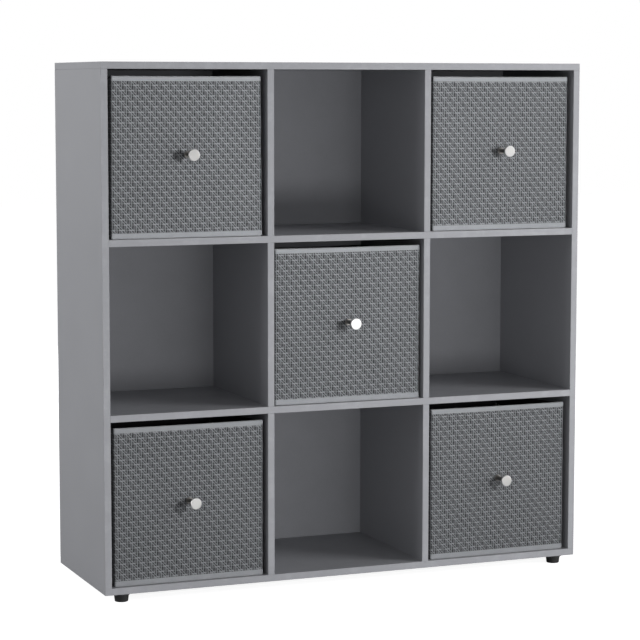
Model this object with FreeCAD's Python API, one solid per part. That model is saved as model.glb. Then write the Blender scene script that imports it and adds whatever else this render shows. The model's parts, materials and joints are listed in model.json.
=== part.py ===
import FreeCAD, Part
import os

# Cube storage unit: nine square openings in three columns and three rows, on four glide feet,
# with five loose fabric drawers. All sizes are in millimetres. +X runs to the right as seen
# from the front, +Y to the back and +Z up. The origin is on the floor, under the middle of
# the overall box of the unit with its drawers in.

# ---- driving dimensions: carcass -------------------------------------------------------
COLUMNS = 3
ROWS = 3
BOARD = 12.0                # thickness of every faced board
OPENING_WIDTH = 286.0       # clear width of one opening
OPENING_HEIGHT = 287.0      # clear height of one opening
BOARD_DEPTH = 287.0         # front to back, without the back panel
BACK_PANEL = 3.0            # thickness of the hardboard back panel
BACK_PANEL_INSET = 2.0      # the back panel stops short of the outline by this much
EDGE_EASE = 0.5             # radius rolled onto the edges that can be seen and touched
TOLERANCE = 0.05            # how closely an edge has to lie where it is looked for

# ---- feet ------------------------------------------------------------------------------
FOOT_HEIGHT = 15.0
FOOT_FLANGE_RADIUS = 15.5
FOOT_FLANGE_HEIGHT = 2.6
FOOT_TOP_RADIUS = 13.0
FOOT_BOTTOM_RADIUS = 11.5
FOOT_ROUNDING = 1.6
FOOT_SIDE_INSET = 34.0      # foot centre from the side of the unit
FOOT_EDGE_INSET = 18.0      # foot centre from the front or rear edge of the boards
FOOT_COUNTERBORE_RADIUS = 4.6
FOOT_COUNTERBORE_DEPTH = 8.0
FOOT_SCREW_RADIUS = 1.9
FOOT_SCREW_BITE = 9.0       # length in the bottom board
FOOT_SCREW_HEAD_RADIUS = 4.0
FOOT_SCREW_HEAD_HEIGHT = 2.4

# ---- hidden fittings of the carcass ----------------------------------------------------
HOLE_CLEARANCE = 0.1        # radial play of a dowel, bolt, pin or screw in its hole
DOWEL_RADIUS = 3.0
DOWEL_IN_DIVIDER = 12.0
DOWEL_IN_BOARD = 8.0        # in the top and bottom board; a shelf is passed right through
DOWEL_SETBACK = 58.0        # from the front and rear edges
CAM_RADIUS = 6.0
CAM_HEIGHT = 9.5
CAM_REACH = 24.0            # cam centre from the joint
CAM_SETBACK = 38.0          # from the front and rear edges
CAM_SLOT_RADIUS = 3.6       # bore in the cam that takes the bolt's head
CAM_CROSS_WIDTH = 1.4
CAM_CROSS_LENGTH = 7.0
CAM_CROSS_DEPTH = 1.2
BOLT_THREAD_RADIUS = 2.5
BOLT_BITE = 8.5             # threaded length in the neighbouring board
BOLT_SHANK_RADIUS = 1.9
BOLT_HEAD_RADIUS = 3.2
BOLT_HEAD_LENGTH = 2.4
PIN_RADIUS = 0.8
PIN_LENGTH = 18.0
PIN_HEAD_RADIUS = 2.4
PIN_HEAD_HEIGHT = 0.8

# ---- fabric drawers --------------------------------------------------------------------
DRAWERS = (                 # name, column from the left, row from the bottom
    ("bottom_left_drawer", 0, 0),
    ("bottom_right_drawer", 2, 0),
    ("centre_drawer", 1, 1),
    ("top_left_drawer", 0, 2),
    ("top_right_drawer", 2, 2),
)
DRAWER_WIDTH = 270.0
DRAWER_HEIGHT = 275.0       # at the front
DRAWER_BACK_HEIGHT = 258.0  # the rim falls towards the back
DRAWER_DEPTH = 265.0
DRAWER_RECESS = 8.0         # drawer front behind the board edges
DRAWER_LIFT = 0.3           # drawer bottom above the board it stands on
RIM_KNEE = 8.0              # the rim is level this far back, then falls
CLOTH = 0.8                 # thickness of the drawer's plain cloth
COVER = 0.8                 # thickness of the patterned front cover
COVER_RETURN = 20.0         # how far the cover wraps round onto the sides
WALL_BOARD = 2.4            # stiffener in each wall
BASE_BOARD = 3.0
BAND = 0.6                  # thickness of the plain bands
TOP_BAND_HEIGHT = 8.5
BOTTOM_BAND_HEIGHT = 9.5

# ---- knobs -----------------------------------------------------------------------------
KNOB_HEIGHT = 142.0         # knob centre above the drawer's bottom
KNOB_LENGTH = 37.4
KNOB_CAP_RADIUS = 10.0
KNOB_CAP_THICKNESS = 4.6
KNOB_CAP_ROUNDING = 0.9
KNOB_NECK_RADIUS = 3.6
KNOB_NECK_FLARE = 3.0       # length of the cone between neck and cap
KNOB_FLARE_RADIUS = 6.5
KNOB_BASE_RADIUS = 6.0
KNOB_BASE_THICKNESS = 2.4
KNOB_BASE_ROUNDING = 0.6
KNOB_DISH_RADIUS = 7.6      # shallow turned dish in the cap's face
KNOB_DISH_DEPTH = 0.4
KNOB_SCREW_RADIUS = 2.0
KNOB_SCREW_BITE = 10.0
KNOB_SCREW_HEAD_RADIUS = 4.0
KNOB_SCREW_HEAD_HEIGHT = 2.4
WASHER_RADIUS = 7.5
WASHER_THICKNESS = 1.0

# ---- worked out from the above ---------------------------------------------------------
WIDTH = COLUMNS * OPENING_WIDTH + (COLUMNS + 1) * BOARD
CARCASS_HEIGHT = ROWS * OPENING_HEIGHT + (ROWS + 1) * BOARD
TOP_Z = FOOT_HEIGHT + CARCASS_HEIGHT
LEFT_X = -WIDTH / 2
KNOB_STANDOUT = KNOB_LENGTH - BAND - DRAWER_RECESS      # knob face in front of the boards
OVERALL_DEPTH = KNOB_STANDOUT + BOARD_DEPTH + BACK_PANEL
FRONT_Y = KNOB_STANDOUT - OVERALL_DEPTH / 2
REAR_Y = FRONT_Y + BOARD_DEPTH
RIM_TOP = DRAWER_HEIGHT - BAND                          # cloth rim under the top band
BOX_FRONT = BAND + COVER                                # front of the cloth box
HALF_BOX = DRAWER_WIDTH / 2 - COVER
INNER_FRONT = BOX_FRONT + 2 * CLOTH + WALL_BOARD        # inside of the front wall
MARGIN = 1.0                                            # how far a cutting tool runs past a face

X_AXIS = FreeCAD.Vector(1, 0, 0)
Y_AXIS = FreeCAD.Vector(0, 1, 0)
Z_AXIS = FreeCAD.Vector(0, 0, 1)


def column_x(column):
    """Left side of an opening."""
    return LEFT_X + BOARD + column * (OPENING_WIDTH + BOARD)


def row_z(row):
    """Floor of an opening."""
    return FOOT_HEIGHT + BOARD + row * (OPENING_HEIGHT + BOARD)


def block(x_range, y_range, z_range):
    """A box between two limits on each axis."""
    low = FreeCAD.Vector(x_range[0], y_range[0], z_range[0])
    size = [limits[1] - limits[0] for limits in (x_range, y_range, z_range)]
    return Part.makeBox(size[0], size[1], size[2], low)


def rod(radius, start, direction, length):
    """A cylinder from a point, along a direction."""
    return Part.makeCylinder(radius, length, start, direction)


def lies_at(edge, axis, value):
    """True when the whole edge lies at one value of X, Y or Z."""
    return all(abs(getattr(vertex.Point, axis) - value) < TOLERANCE for vertex in edge.Vertexes)


def eased(solid, planes):
    """Rounds the edges that lie in any of the planes, each an axis letter and a value."""
    edges = [e for e in solid.Edges if any(lies_at(e, axis, value) for axis, value in planes)]
    return solid.makeFillet(EDGE_EASE, edges)


def turned(profile, start, direction):
    """A solid of revolution from (radius, height) points, standing on a point."""
    points = [FreeCAD.Vector(radius, 0, height) for radius, height in profile]
    face = Part.Face(Part.makePolygon(points + points[:1]))
    solid = face.revolve(FreeCAD.Vector(0, 0, 0), Z_AXIS, 360)
    turn = FreeCAD.Rotation(Z_AXIS, direction)
    solid.Placement = FreeCAD.Placement(start, turn)
    return solid


def circle_edges(solid, radius, along, value):
    """The circular edges of one radius at one place along an axis."""
    found = []
    for edge in solid.Edges:
        if not hasattr(edge.Curve, "Radius"):
            continue
        radius_off = abs(edge.Curve.Radius - radius)
        place_off = abs(getattr(edge.Curve.Center, along) - value)
        if max(radius_off, place_off) < TOLERANCE:
            found.append(edge)
    return found


# ---- hidden fittings: each gives its solid and the hole that it sits in --------------------

def dowel(x, y, low, high):
    """An upright dowel and its hole."""
    start = FreeCAD.Vector(x, y, low)
    body = rod(DOWEL_RADIUS, start, Z_AXIS, high - low)
    return body, rod(DOWEL_RADIUS + HOLE_CLEARANCE, start, Z_AXIS, high - low)


def cam_joint(joint, along, face):
    """Cam, bolt and holes of a knock-down joint.

    joint is the middle of the joint on the neighbour's surface, along points into the board
    that holds the cam, and face is the outward normal of the surface the cam is set in.
    """
    centre = joint + along * CAM_REACH
    mouth = centre + face * (BOARD / 2)
    cam = rod(CAM_RADIUS, mouth, face * -1, CAM_HEIGHT)
    bolt_space = rod(CAM_SLOT_RADIUS, joint, along, CAM_REACH + BOLT_HEAD_RADIUS)
    cross_turn = FreeCAD.Rotation(Z_AXIS, face)
    for width, length in ((CAM_CROSS_WIDTH, CAM_CROSS_LENGTH), (CAM_CROSS_LENGTH, CAM_CROSS_WIDTH)):
        bar = Part.makeBox(width, length, 2 * CAM_CROSS_DEPTH,
                           FreeCAD.Vector(-width / 2, -length / 2, -CAM_CROSS_DEPTH))
        bar.Placement = FreeCAD.Placement(mouth, cross_turn)
        cam = cam.cut(bar)
    cam = cam.cut(bolt_space)
    bolt = rod(BOLT_THREAD_RADIUS, joint - along * BOLT_BITE, along, BOLT_BITE)
    bolt = bolt.fuse(rod(BOLT_SHANK_RADIUS, joint, along, CAM_REACH))
    head_start = centre - along * (BOLT_HEAD_LENGTH / 2)
    bolt = bolt.fuse(rod(BOLT_HEAD_RADIUS, head_start, along, BOLT_HEAD_LENGTH)).removeSplitter()
    pocket = rod(CAM_RADIUS + HOLE_CLEARANCE, mouth + face * MARGIN, face * -1, CAM_HEIGHT + MARGIN)
    thread_hole = rod(BOLT_THREAD_RADIUS + HOLE_CLEARANCE, joint - along * BOLT_BITE, along, BOLT_BITE)
    end_bore = rod(CAM_SLOT_RADIUS, joint, along, CAM_REACH)
    return cam, bolt, [pocket, thread_hole, end_bore]


def back_pin(x, z):
    """A small nail through the back panel, its head let in flush, and its holes."""
    outside = FreeCAD.Vector(x, REAR_Y + BACK_PANEL, z)
    inward = Y_AXIS * -1
    head = rod(PIN_HEAD_RADIUS, outside, inward, PIN_HEAD_HEIGHT)
    pin = head.fuse(rod(PIN_RADIUS, outside, inward, PIN_LENGTH)).removeSplitter()
    head_seat = rod(PIN_HEAD_RADIUS + HOLE_CLEARANCE, outside, inward, PIN_HEAD_HEIGHT)
    shank_hole = rod(PIN_RADIUS + HOLE_CLEARANCE, outside, inward, PIN_LENGTH)
    return pin, head_seat.fuse(shank_hole)


def foot_screw(x, y):
    """The screw of one foot and its pilot hole in the bottom board."""
    seat = FreeCAD.Vector(x, y, FOOT_COUNTERBORE_DEPTH)
    length = FOOT_HEIGHT - FOOT_COUNTERBORE_DEPTH + FOOT_SCREW_BITE
    shank = rod(FOOT_SCREW_RADIUS, seat, Z_AXIS, length)
    head = rod(FOOT_SCREW_HEAD_RADIUS, seat, Z_AXIS * -1, FOOT_SCREW_HEAD_HEIGHT)
    hole = rod(FOOT_SCREW_RADIUS + HOLE_CLEARANCE, seat, Z_AXIS, length)
    return shank.fuse(head).removeSplitter(), hole


# ---- carcass ---------------------------------------------------------------------------

def foot_places():
    """Name and centre of each foot."""
    right = -LEFT_X - FOOT_SIDE_INSET
    front = FRONT_Y + FOOT_EDGE_INSET
    rear = REAR_Y - FOOT_EDGE_INSET
    return {
        "foot_front_left": (-right, front),
        "foot_front_right": (right, front),
        "foot_rear_left": (-right, rear),
        "foot_rear_right": (right, rear),
    }


def foot(x, y):
    """A round glide foot: flange, tapered body, rounded tread and a hidden screw seat."""
    body_top = FOOT_HEIGHT - FOOT_FLANGE_HEIGHT
    profile = [
        (0, 0),
        (FOOT_BOTTOM_RADIUS, 0),
        (FOOT_TOP_RADIUS, body_top),
        (FOOT_FLANGE_RADIUS, body_top),
        (FOOT_FLANGE_RADIUS, FOOT_HEIGHT),
        (0, FOOT_HEIGHT),
    ]
    base = FreeCAD.Vector(x, y, 0)
    solid = turned(profile, base, Z_AXIS)
    solid = solid.makeFillet(FOOT_ROUNDING, circle_edges(solid, FOOT_BOTTOM_RADIUS, "z", 0))
    rim = circle_edges(solid, FOOT_FLANGE_RADIUS, "z", body_top)
    solid = solid.makeFillet(EDGE_EASE, rim)
    solid = solid.cut(rod(FOOT_COUNTERBORE_RADIUS, base, Z_AXIS, FOOT_COUNTERBORE_DEPTH))
    return solid.cut(rod(FOOT_SCREW_RADIUS + HOLE_CLEARANCE, base, Z_AXIS, FOOT_HEIGHT))


def raw_boards():
    """Every faced board before drilling, by name."""
    right_x = -LEFT_X
    full_width = (LEFT_X, right_x)
    depth = (FRONT_Y, REAR_Y)
    front = ("y", FRONT_Y)
    outer = [front, ("x", LEFT_X), ("x", right_x)]
    boards = {
        "top_board": eased(block(full_width, depth, (TOP_Z - BOARD, TOP_Z)), outer),
        "bottom_board": eased(block(full_width, depth, (FOOT_HEIGHT, FOOT_HEIGHT + BOARD)), outer),
    }
    upright = (FOOT_HEIGHT + BOARD, TOP_Z - BOARD)
    boards["left_side"] = eased(block((LEFT_X, LEFT_X + BOARD), depth, upright), [front])
    boards["right_side"] = eased(block((right_x - BOARD, right_x), depth, upright), [front])
    between = (LEFT_X + BOARD, right_x - BOARD)
    for name, row in (("lower_shelf", 1), ("upper_shelf", 2)):
        boards[name] = eased(block(between, depth, (row_z(row) - BOARD, row_z(row))), [front])
    for row, level in enumerate(("bottom", "middle", "top")):
        for column, side in ((1, "left"), (2, "right")):
            across = (column_x(column) - BOARD, column_x(column))
            height = (row_z(row), row_z(row) + OPENING_HEIGHT)
            boards["divider_%s_%s" % (level, side)] = eased(block(across, depth, height), [front])
    return boards


def back_panel():
    """One thin sheet over the whole back."""
    across = (LEFT_X + BACK_PANEL_INSET, -LEFT_X - BACK_PANEL_INSET)
    height = (FOOT_HEIGHT + BACK_PANEL_INSET, TOP_Z - BACK_PANEL_INSET)
    return block(across, (REAR_Y, REAR_Y + BACK_PANEL), height)


def all_dowels():
    """Dowels at both ends of every divider; those at a shelf pass through into the next one."""
    pairs = []
    for column in (1, 2):
        x = column_x(column) - BOARD / 2
        for y in (FRONT_Y + DOWEL_SETBACK, REAR_Y - DOWEL_SETBACK):
            pairs.append(dowel(x, y, row_z(0) - DOWEL_IN_BOARD, row_z(0) + DOWEL_IN_DIVIDER))
            for shelf_top in (row_z(1), row_z(2)):
                low = shelf_top - BOARD - DOWEL_IN_DIVIDER
                pairs.append(dowel(x, y, low, shelf_top + DOWEL_IN_DIVIDER))
            ceiling = TOP_Z - BOARD
            pairs.append(dowel(x, y, ceiling - DOWEL_IN_DIVIDER, ceiling + DOWEL_IN_BOARD))
    return pairs


def all_cam_joints():
    """Cam joints of the shelves to the sides, and of the sides to the top and bottom boards."""
    joints = []
    for inward, face_x in ((X_AXIS, LEFT_X + BOARD), (X_AXIS * -1, -LEFT_X - BOARD)):
        side_middle = face_x - inward.x * BOARD / 2
        for y in (FRONT_Y + CAM_SETBACK, REAR_Y - CAM_SETBACK):
            for row in (1, 2):
                shelf_joint = FreeCAD.Vector(face_x, y, row_z(row) - BOARD / 2)
                joints.append(cam_joint(shelf_joint, inward, Z_AXIS * -1))
            floor_joint = FreeCAD.Vector(side_middle, y, FOOT_HEIGHT + BOARD)
            joints.append(cam_joint(floor_joint, Z_AXIS, inward))
            top_joint = FreeCAD.Vector(side_middle, y, TOP_Z - BOARD)
            joints.append(cam_joint(top_joint, Z_AXIS * -1, inward))
    return joints


def all_back_pins():
    """Pins into the rear edges of the horizontal boards, the sides and the dividers."""
    middles_x = [column_x(column) + OPENING_WIDTH / 2 for column in range(COLUMNS)]
    middles_z = [row_z(row) + OPENING_HEIGHT / 2 for row in range(ROWS)]
    uprights_x = [column_x(column) - BOARD / 2 for column in range(COLUMNS + 1)]
    levels_z = [row_z(row) - BOARD / 2 for row in range(ROWS + 1)]
    corner_x = (uprights_x[0] + BOARD, uprights_x[-1] - BOARD)
    pins = [back_pin(x, z) for z in levels_z for x in (corner_x[0], *middles_x, corner_x[1])]
    pins += [back_pin(x, z) for x in uprights_x for z in middles_z]
    return pins


def drilled(solid, holes):
    """Cuts away each hole that reaches the solid."""
    reaching = [hole for hole in holes if hole.BoundBox.intersect(solid.BoundBox)]
    return solid.cut(reaching)


def carcass_nodes():
    """Every fixed piece of the unit, by node name."""
    dowels = all_dowels()
    cams = all_cam_joints()
    pins = all_back_pins()
    screws = [foot_screw(x, y) for x, y in foot_places().values()]
    holes = [hole for _, hole in dowels + pins + screws]
    holes += [hole for _, _, joint_holes in cams for hole in joint_holes]
    nodes = {name: drilled(board, holes) for name, board in raw_boards().items()}
    nodes["back_panel"] = drilled(back_panel(), [hole for _, hole in pins])
    for name, (x, y) in foot_places().items():
        nodes[name] = foot(x, y)
    nodes["foot_screws"] = Part.makeCompound([screw for screw, _ in screws])
    nodes["divider_dowels"] = Part.makeCompound([body for body, _ in dowels])
    nodes["cam_locks"] = Part.makeCompound([cam for cam, _, _ in cams])
    nodes["cam_bolts"] = Part.makeCompound([bolt for _, bolt, _ in cams])
    nodes["back_pins"] = Part.makeCompound([pin for pin, _ in pins])
    return nodes


# ---- drawers: made around x = 0 with the front at y = 0 and the bottom at z = 0 -----------

def rim_height(y):
    """Height of the cloth rim at a distance behind the drawer's front."""
    if y <= RIM_KNEE:
        return RIM_TOP
    share = (y - RIM_KNEE) / (DRAWER_DEPTH - RIM_KNEE)
    return RIM_TOP + share * (DRAWER_BACK_HEIGHT - RIM_TOP)


def under_rim(half_width, y_range, floor, drop):
    """A prism that is symmetric about x = 0, with its top a little below the sloping rim."""
    return slab((-half_width, half_width), y_range, floor, drop)


def slab(x_range, y_range, floor, drop):
    """A prism between two x values whose top follows the rim, lowered by drop."""
    near, far = y_range
    outline = [(near, floor), (far, floor), (far, rim_height(far) - drop)]
    if near < RIM_KNEE < far:
        outline.append((RIM_KNEE, RIM_TOP - drop))
    outline.append((near, rim_height(near) - drop))
    points = [FreeCAD.Vector(x_range[0], y, z) for y, z in outline]
    face = Part.Face(Part.makePolygon(points + points[:1]))
    return face.extrude(X_AXIS * (x_range[1] - x_range[0]))


def inset_prism(inset, floor, drop):
    """The cloth box's outline, moved inwards on all four sides."""
    return under_rim(HALF_BOX - inset, (BOX_FRONT + inset, DRAWER_DEPTH - inset), floor, drop)


def drawer_box():
    """The cloth box: one outer skin, folded over the rim and down inside, open below for boards."""
    outer = under_rim(HALF_BOX, (BOX_FRONT, DRAWER_DEPTH), 0, 0)
    pockets = inset_prism(CLOTH, CLOTH, CLOTH)
    core = inset_prism(CLOTH + WALL_BOARD, 0, -MARGIN)
    hollow = inset_prism(2 * CLOTH + WALL_BOARD, CLOTH, -MARGIN)
    return outer.cut(pockets.cut(core)).cut(hollow).cut(drawer_base_board())


def drawer_wall_boards():
    """Four stiffeners that fill the pockets of the cloth box."""
    outside = HALF_BOX - CLOTH
    inside = outside - WALL_BOARD
    front = BOX_FRONT + CLOTH
    rear = DRAWER_DEPTH - CLOTH
    between = (front + WALL_BOARD, rear - WALL_BOARD)
    return [
        under_rim(outside, (front, front + WALL_BOARD), CLOTH, CLOTH),
        under_rim(outside, (rear - WALL_BOARD, rear), CLOTH, CLOTH),
        slab((-outside, -inside), between, CLOTH, CLOTH),
        slab((inside, outside), between, CLOTH, CLOTH),
    ]


def drawer_base_board():
    """The loose stiff floor, which holds the inner skin of the walls off the bottom."""
    inset = CLOTH + WALL_BOARD
    half = HALF_BOX - inset
    return block((-half, half), (BOX_FRONT + inset, DRAWER_DEPTH - inset), (CLOTH, CLOTH + BASE_BOARD))


def drawer_front_cover():
    """Patterned cloth over the front, wrapped a little way round onto both sides."""
    wrap_end = BAND + COVER_RETURN
    outer = under_rim(DRAWER_WIDTH / 2, (BAND, wrap_end), 0, 0)
    inner = under_rim(HALF_BOX, (BOX_FRONT, wrap_end + MARGIN), -MARGIN, -MARGIN)
    return outer.cut(inner)


def drawer_bands():
    """Plain tape: one folded over the top of the front wall, one along its bottom edge."""
    half = DRAWER_WIDTH / 2
    inner_half = HALF_BOX - 2 * CLOTH - WALL_BOARD
    low = DRAWER_HEIGHT - TOP_BAND_HEIGHT
    front_leg = block((-half, half), (0, BAND), (low, DRAWER_HEIGHT))
    over = block((-half, half), (0, INNER_FRONT), (RIM_TOP, DRAWER_HEIGHT))
    inner_leg = block((-inner_half, inner_half), (INNER_FRONT, INNER_FRONT + BAND), (low, DRAWER_HEIGHT))
    top_band = front_leg.fuse([over, inner_leg]).removeSplitter()
    return [top_band, block((-half, half), (0, BAND), (0, BOTTOM_BAND_HEIGHT))]


def knob():
    """A turned knob on the front cover: base, neck, flare and a cap with a shallow dish."""
    cap_back = KNOB_LENGTH - KNOB_CAP_THICKNESS
    profile = [
        (0, 0),
        (KNOB_BASE_RADIUS, 0),
        (KNOB_BASE_RADIUS, KNOB_BASE_THICKNESS),
        (KNOB_NECK_RADIUS, KNOB_BASE_THICKNESS),
        (KNOB_NECK_RADIUS, cap_back - KNOB_NECK_FLARE),
        (KNOB_FLARE_RADIUS, cap_back),
        (KNOB_CAP_RADIUS, cap_back),
        (KNOB_CAP_RADIUS, KNOB_LENGTH),
        (KNOB_DISH_RADIUS, KNOB_LENGTH),
        (KNOB_DISH_RADIUS, KNOB_LENGTH - KNOB_DISH_DEPTH),
        (0, KNOB_LENGTH - KNOB_DISH_DEPTH),
    ]
    base = FreeCAD.Vector(0, BAND, KNOB_HEIGHT)
    outward = Y_AXIS * -1
    solid = turned(profile, base, outward)
    cap_rims = circle_edges(solid, KNOB_CAP_RADIUS, "y", BAND - KNOB_LENGTH)
    cap_rims += circle_edges(solid, KNOB_CAP_RADIUS, "y", BAND - cap_back)
    solid = solid.makeFillet(KNOB_CAP_ROUNDING, cap_rims)
    base_rim = circle_edges(solid, KNOB_BASE_RADIUS, "y", BAND - KNOB_BASE_THICKNESS)
    solid = solid.makeFillet(KNOB_BASE_ROUNDING, base_rim)
    return solid.cut(rod(KNOB_SCREW_RADIUS + HOLE_CLEARANCE, base, outward, KNOB_SCREW_BITE))


def knob_screw():
    """The screw that holds the knob, and its washer, from inside the drawer."""
    outward = Y_AXIS * -1
    wall_face = FreeCAD.Vector(0, INNER_FRONT, KNOB_HEIGHT)
    head_seat = wall_face + Y_AXIS * WASHER_THICKNESS
    reach = head_seat.y - BAND + KNOB_SCREW_BITE - MARGIN
    head = rod(KNOB_SCREW_HEAD_RADIUS, head_seat, Y_AXIS, KNOB_SCREW_HEAD_HEIGHT)
    screw = head.fuse(rod(KNOB_SCREW_RADIUS, head_seat, outward, reach)).removeSplitter()
    washer = rod(WASHER_RADIUS, wall_face, Y_AXIS, WASHER_THICKNESS)
    washer = washer.cut(rod(KNOB_SCREW_RADIUS + HOLE_CLEARANCE, wall_face, Y_AXIS, WASHER_THICKNESS))
    return [screw, washer]


def drawer_pieces():
    """Every piece of one drawer, by the last part of its node name."""
    screw_hole = rod(KNOB_SCREW_RADIUS + HOLE_CLEARANCE,
                     FreeCAD.Vector(0, 0, KNOB_HEIGHT), Y_AXIS, INNER_FRONT + MARGIN)
    walls = drawer_wall_boards()
    walls[0] = walls[0].cut(screw_hole)
    return {
        "box": drawer_box().cut(screw_hole),
        "wall_boards": Part.makeCompound(walls),
        "base_board": drawer_base_board(),
        "front_cover": drawer_front_cover().cut(screw_hole),
        "front_bands": Part.makeCompound(drawer_bands()),
        "knob": knob(),
        "knob_screw": Part.makeCompound(knob_screw()),
    }


def drawer_nodes():
    """The pieces of all the drawers, each in its opening."""
    pieces = drawer_pieces()
    nodes = {}
    for name, column, row in DRAWERS:
        middle = column_x(column) + OPENING_WIDTH / 2
        place = FreeCAD.Vector(middle, FRONT_Y + DRAWER_RECESS, row_z(row) + DRAWER_LIFT)
        for piece, shape in pieces.items():
            copy = shape.copy()
            copy.translate(place)
            nodes["%s_%s" % (name, piece)] = copy
    return nodes


def main():
    os.makedirs("parts", exist_ok=True)
    nodes = {**carcass_nodes(), **drawer_nodes()}
    for name, shape in nodes.items():
        shape.exportStep("parts/%s.step" % name)
        print(name, len(shape.Solids), "solids", round(shape.Volume), "mm3", "valid", shape.isValid())
    print(len(nodes), "nodes")


main()
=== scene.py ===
import json
import math
import random

import bmesh
import bpy
import numpy as np
from mathutils import Matrix, Vector

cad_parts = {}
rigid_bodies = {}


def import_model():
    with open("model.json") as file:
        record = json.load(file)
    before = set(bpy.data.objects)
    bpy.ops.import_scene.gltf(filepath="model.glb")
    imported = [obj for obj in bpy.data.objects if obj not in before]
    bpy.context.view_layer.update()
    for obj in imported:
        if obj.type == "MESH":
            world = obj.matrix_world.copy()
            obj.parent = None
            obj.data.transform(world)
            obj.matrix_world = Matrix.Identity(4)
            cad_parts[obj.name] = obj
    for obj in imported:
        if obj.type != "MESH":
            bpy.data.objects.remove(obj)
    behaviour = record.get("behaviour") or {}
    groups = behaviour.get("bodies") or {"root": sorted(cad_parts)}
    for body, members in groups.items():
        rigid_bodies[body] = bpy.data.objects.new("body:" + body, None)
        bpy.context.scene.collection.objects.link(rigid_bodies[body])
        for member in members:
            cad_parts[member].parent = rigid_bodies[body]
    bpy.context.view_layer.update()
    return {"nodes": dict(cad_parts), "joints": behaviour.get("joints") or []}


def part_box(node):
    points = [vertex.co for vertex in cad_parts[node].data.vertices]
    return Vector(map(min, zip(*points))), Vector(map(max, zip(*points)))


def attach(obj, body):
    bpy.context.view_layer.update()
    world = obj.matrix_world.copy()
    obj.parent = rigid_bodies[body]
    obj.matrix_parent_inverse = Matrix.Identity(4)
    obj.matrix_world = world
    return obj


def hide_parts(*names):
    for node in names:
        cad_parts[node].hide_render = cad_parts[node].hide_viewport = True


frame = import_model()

bl_info = {
    "name": "Cube Storage Unit",
    "version": (1, 0, 0),
    "blender": (4, 5, 0),
    "location": "View3D > Sidebar > Storage",
    "description": "Grey cube storage unit with woven-front fabric drawers",
    "category": "Object",
}

# The cabinet's boards, back, feet and fittings keep their CAD meshes and are given finishes.
# The drawers' cloth, tapes and stiffeners are made here, round the same boxes as their CAD
# nodes. Lengths are in metres; MM turns millimetres into metres.

MM = 0.001
CLOTH_MAP = "Cloth"                     # UV map that says where a point lies on its flat cloth

DRAWERS = [joint["child"] for joint in frame["joints"]]
BOARDS = [name for name in frame["nodes"]
          if name.startswith("divider_") and name != "divider_dowels"
          or name in ("top_board", "bottom_board", "left_side", "right_side",
                      "lower_shelf", "upper_shelf")]
FEET = [name for name in frame["nodes"] if name.startswith("foot_") and name != "foot_screws"]
STEEL_NODES = ["foot_screws", "cam_locks", "cam_bolts", "back_pins"]
FRONT_EDGE_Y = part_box("left_side")[0].y


# ---- settings --------------------------------------------------------------------------

def colour_setting(name, description, default):
    return bpy.props.FloatVectorProperty(name=name, description=description, subtype="COLOR",
                                         size=3, min=0, max=1, default=default)


def length_setting(name, description, default):
    return bpy.props.FloatProperty(name=name, description=description, default=default,
                                   unit="LENGTH")


def power_setting(name, description, default):
    return bpy.props.FloatProperty(name=name, description=description, default=default,
                                   min=0, unit="POWER")


class CubeCarcassSettings(bpy.types.PropertyGroup):
    """Finish of the boards, the back, the feet and the metal fittings."""
    board_colour: colour_setting("Board colour", "Grey foil on the boards", (0.262, 0.266, 0.284))
    back_colour: colour_setting("Back colour", "Grey paint on the hardboard back",
                                (0.215, 0.219, 0.235))
    board_roughness: bpy.props.FloatProperty(
        name="Board roughness", description="Gloss of the foil, 1 is fully matt",
        min=0, max=1, default=0.46, subtype="FACTOR")
    edge_tape: length_setting("Edge tape", "Thickness of the tape glued to the front edges",
                              0.9 * MM)
    foot_colour: colour_setting("Foot colour", "Moulded plastic of the feet",
                                (0.006, 0.006, 0.0065))


class CubeDrawerSettings(bpy.types.PropertyGroup):
    """Sizes and colours of the fabric drawers."""
    weave_relief: length_setting("Weave relief", "How far the canes stand above the ground cloth",
                                 0.10 * MM)
    weave_step: length_setting("Weave mesh step", "Spacing of the cover's mesh", 1.0 * MM)
    cane_light: colour_setting("Cane, light", "Lightest yarn of the cover", (0.124, 0.129, 0.137))
    cane_dark: colour_setting("Cane, dark", "Darkest yarn of the cover", (0.0010, 0.0011, 0.0013))
    box_colour: colour_setting("Box cloth colour", "Black non-woven cloth of the box",
                               (0.017, 0.017, 0.0185))
    tape_colour: colour_setting("Tape colour", "Grey binding tape on the front",
                                (0.138, 0.143, 0.151))
    tape_rib: length_setting("Tape rib", "Distance between the ribs of the binding tape", 1.6 * MM)
    stitch_pitch: length_setting("Stitch pitch", "Distance from one stitch to the next", 3.6 * MM)
    knob_colour: colour_setting("Knob colour", "Satin nickel of the knobs", (0.43, 0.427, 0.42))
    rim_bow: length_setting("Rim bow", "How far a side wall bows in at the rim", 1.6 * MM)
    front_swell: length_setting("Front swell", "How far the front swells around the knob",
                                0.9 * MM)


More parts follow.
